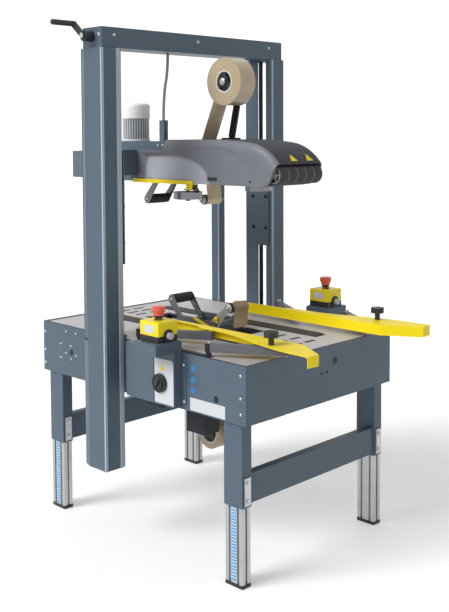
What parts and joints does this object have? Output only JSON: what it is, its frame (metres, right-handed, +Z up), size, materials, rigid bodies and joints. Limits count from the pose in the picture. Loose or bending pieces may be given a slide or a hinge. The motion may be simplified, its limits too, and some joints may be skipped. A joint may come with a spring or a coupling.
{
  "type": "carton sealer",
  "caption": "Semi-automatic carton sealer with belt bed, height-adjustable taping head on two columns, lower tape unit, swing-out side guides and control cabinet.",
  "frame": {"origin": "on the floor below the middle of the bed, at the centre of the four feet", "axes": "+Z up, +X towards the infeed end of the bed, +Y to the side away from the control cabinet"},
  "size_m": [1.252, 1.0668, 1.7905],
  "materials": {
    "frame_paint": "powder coat",
    "cover_paint": "satin moulded plastic",
    "dark_cover": "satin moulded plastic",
    "bed_steel": "plain sheet",
    "bare_steel": "turned and plated",
    "black_steel": "black oxide",
    "aluminium_profile": "anodised",
    "yellow_paint": "gloss powder coat",
    "yellow_plastic": "moulded",
    "red_plastic": "moulded",
    "black_plastic": "moulded",
    "black_rubber": "plain",
    "packing_tape": "wound film",
    "motor_paint": "dark enamel",
    "motor_alloy": "cast"
  },
  "bodies": {
    "frame": {"infeed_end_panel": "frame_paint", "outfeed_end_panel": "frame_paint", "near_side_panel": "frame_paint", "far_side_panel": "frame_paint", "bed_top_plate": "bed_steel", "drive_belts": "black_rubber", "belt_bed": "bare_steel", "infeed_leg_frame": "frame_paint", "outfeed_leg_frame": "frame_paint", "inner_legs": "aluminium_profile", "far_column": "frame_paint", "near_column": "frame_paint", "crossbeam": "frame_paint", "lower_unit_frame": "bare_steel", "guide_posts": "bare_steel", "control_cabinet": "frame_paint", "far_stop_bracket": "frame_paint", "stop_boxes": "yellow_plastic", "drive_motor": "motor_paint", "head_cable": "black_rubber"},
    "head": {"head_frame": "frame_paint", "front_roller_pin": "bare_steel", "far_side_cover": "cover_paint", "near_side_cover": "cover_paint", "top_cover": "dark_cover", "head_motor": "motor_alloy", "upper_unit_frame": "bare_steel", "roll_arm": "black_steel", "tape_strip": "packing_tape", "yellow_guard": "yellow_paint"},
    "crank_handle": {"crank": "black_plastic"},
    "carton_front_roller": {"front_roller": "black_rubber"},
    "upper_front_arm": {"upper_apply_arm": "bare_steel"},
    "upper_front_wheel": {"upper_apply_roller": "black_rubber"},
    "upper_rear_arm": {"upper_buff_arm": "bare_steel"},
    "upper_rear_wheel": {"upper_buff_roller": "black_rubber"},
    "lower_front_arm": {"lower_apply_arm": "bare_steel"},
    "lower_front_wheel": {"lower_apply_roller": "black_rubber"},
    "lower_rear_arm": {"lower_buff_arm": "bare_steel"},
    "lower_rear_wheel": {"lower_buff_roller": "black_rubber"},
    "upper_roll": {"upper_tape_roll": "packing_tape"},
    "lower_roll": {"lower_tape_roll": "packing_tape"},
    "compression_disc": {"side_disc": "bare_steel"},
    "far_arm_front": {"far_front_guide_arm": "black_steel"},
    "far_arm_rear": {"far_rear_guide_arm": "black_steel"},
    "far_rail": {"far_guide": "yellow_paint"},
    "far_clamp": {"far_knob": "yellow_plastic"},
    "near_arm_front": {"near_front_guide_arm": "black_steel"},
    "near_arm_rear": {"near_rear_guide_arm": "black_steel"},
    "near_rail": {"near_guide": "yellow_paint"},
    "near_clamp": {"near_knob": "yellow_plastic"},
    "far_button": {"far_stop_button": "red_plastic"},
    "near_button": {"near_stop_button": "red_plastic"},
    "switch_knob": {"main_switch": "black_plastic"}
  },
  "joints": [
    {"name": "head_lift", "type": "slide", "parent": "frame", "child": "head", "axis": [0, 0, 1], "range_m": [-0.25, 0.18], "deforming": ["head_cable"]},
    {"name": "crank_turn", "type": "hinge", "parent": "frame", "child": "crank_handle", "pos_m": [-0.11, -0.454, 1.738], "axis": [0, 1, 0], "continuous": true},
    {"name": "front_roller_spin", "type": "hinge", "parent": "head", "child": "carton_front_roller", "pos_m": [0.4, 0, 1.272], "axis": [0, 1, 0], "continuous": true},
    {"name": "upper_roll_spin", "type": "hinge", "parent": "head", "child": "upper_roll", "pos_m": [0.104, 0, 1.592], "axis": [0, 1, 0], "continuous": true},
    {"name": "lower_roll_spin", "type": "hinge", "parent": "frame", "child": "lower_roll", "pos_m": [0.02, 0, 0.318], "axis": [0, 1, 0], "continuous": true},
    {"name": "side_disc_spin", "type": "hinge", "parent": "head", "child": "compression_disc", "pos_m": [-0.008, -0.108, 1.19], "axis": [0, 0, 1], "continuous": true},
    {"name": "upper_front_swing", "type": "hinge", "parent": "head", "child": "upper_front_arm", "pos_m": [-0.062, 0, 1.24], "axis": [0, -1, 0], "range_deg": [0, 45], "stiffness_Nm_per_rad": 4, "springref_deg": -28.65},
    {"name": "upper_rear_swing", "type": "hinge", "parent": "head", "child": "upper_rear_arm", "pos_m": [-0.235, 0, 1.24], "axis": [0, 1, 0], "range_deg": [0, 45]},
    {"name": "lower_front_swing", "type": "hinge", "parent": "frame", "child": "lower_front_arm", "pos_m": [0.063, 0, 0.723], "axis": [0, 1, 0], "range_deg": [0, 45], "stiffness_Nm_per_rad": 4, "springref_deg": -28.65},
    {"name": "lower_rear_swing", "type": "hinge", "parent": "frame", "child": "lower_rear_arm", "pos_m": [-0.102, 0, 0.711], "axis": [0, -1, 0], "range_deg": [0, 45]},
    {"name": "upper_front_wheel_spin", "type": "hinge", "parent": "upper_front_arm", "child": "upper_front_wheel", "pos_m": [0.003, 0, 1.171], "axis": [0, 1, 0], "continuous": true},
    {"name": "upper_rear_wheel_spin", "type": "hinge", "parent": "upper_rear_arm", "child": "upper_rear_wheel", "pos_m": [-0.296, 0, 1.161], "axis": [0, 1, 0], "continuous": true},
    {"name": "lower_front_wheel_spin", "type": "hinge", "parent": "lower_front_arm", "child": "lower_front_wheel", "pos_m": [0.128, 0, 0.79], "axis": [0, 1, 0], "continuous": true},
    {"name": "lower_rear_wheel_spin", "type": "hinge", "parent": "lower_rear_arm", "child": "lower_rear_wheel", "pos_m": [-0.163, 0, 0.79], "axis": [0, 1, 0], "continuous": true},
    {"name": "far_front_arm_swing", "type": "hinge", "parent": "frame", "child": "far_arm_front", "pos_m": [0.348, 0.358, 0.746], "axis": [0, 0, -1], "range_deg": [0, 30]},
    {"name": "far_rear_arm_swing", "type": "hinge", "parent": "frame", "child": "far_arm_rear", "pos_m": [0.014, 0.358, 0.746], "axis": [0, 0, -1], "range_deg": [0, 30]},
    {"name": "far_rail_pivot", "type": "hinge", "parent": "far_arm_front", "child": "far_rail", "pos_m": [0.56, 0.229, 0.746], "axis": [0, 0, 1], "range_deg": [0, 30]},
    {"name": "far_knob_turn", "type": "hinge", "parent": "far_rail", "child": "far_clamp", "pos_m": [0.54, 0.277, 0.77], "axis": [0, 0, 1], "continuous": true},
    {"name": "near_front_arm_swing", "type": "hinge", "parent": "frame", "child": "near_arm_front", "pos_m": [0.348, -0.358, 0.746], "axis": [0, 0, 1], "range_deg": [0, 30]},
    {"name": "near_rear_arm_swing", "type": "hinge", "parent": "frame", "child": "near_arm_rear", "pos_m": [0.014, -0.358, 0.746], "axis": [0, 0, 1], "range_deg": [0, 30]},
    {"name": "near_rail_pivot", "type": "hinge", "parent": "near_arm_front", "child": "near_rail", "pos_m": [0.56, -0.229, 0.746], "axis": [0, 0, -1], "range_deg": [0, 30]},
    {"name": "near_knob_turn", "type": "hinge", "parent": "near_rail", "child": "near_clamp", "pos_m": [0.54, -0.277, 0.77], "axis": [0, 0, 1], "continuous": true},
    {"name": "far_stop_press", "type": "slide", "parent": "frame", "child": "far_button", "axis": [0, 0, -1], "range_m": [0, 0.004], "stiffness_N_per_m": 2000},
    {"name": "near_stop_press", "type": "slide", "parent": "frame", "child": "near_button", "axis": [0, 0, -1], "range_m": [0, 0.004], "stiffness_N_per_m": 2000},
    {"name": "main_switch_turn", "type": "hinge", "parent": "frame", "child": "switch_knob", "pos_m": [0.178, -0.413, 0.602], "axis": [0, -1, 0], "range_deg": [0, 90]}
  ],
  "couplings": [
    {"joint": "upper_rear_swing", "follows": "upper_front_swing", "ratio": 1},
    {"joint": "lower_rear_swing", "follows": "lower_front_swing", "ratio": 1},
    {"joint": "far_rear_arm_swing", "follows": "far_front_arm_swing", "ratio": 1},
    {"joint": "far_rail_pivot", "follows": "far_front_arm_swing", "ratio": 1},
    {"joint": "near_rear_arm_swing", "follows": "near_front_arm_swing", "ratio": 1},
    {"joint": "near_rail_pivot", "follows": "near_front_arm_swing", "ratio": 1}
  ]
}
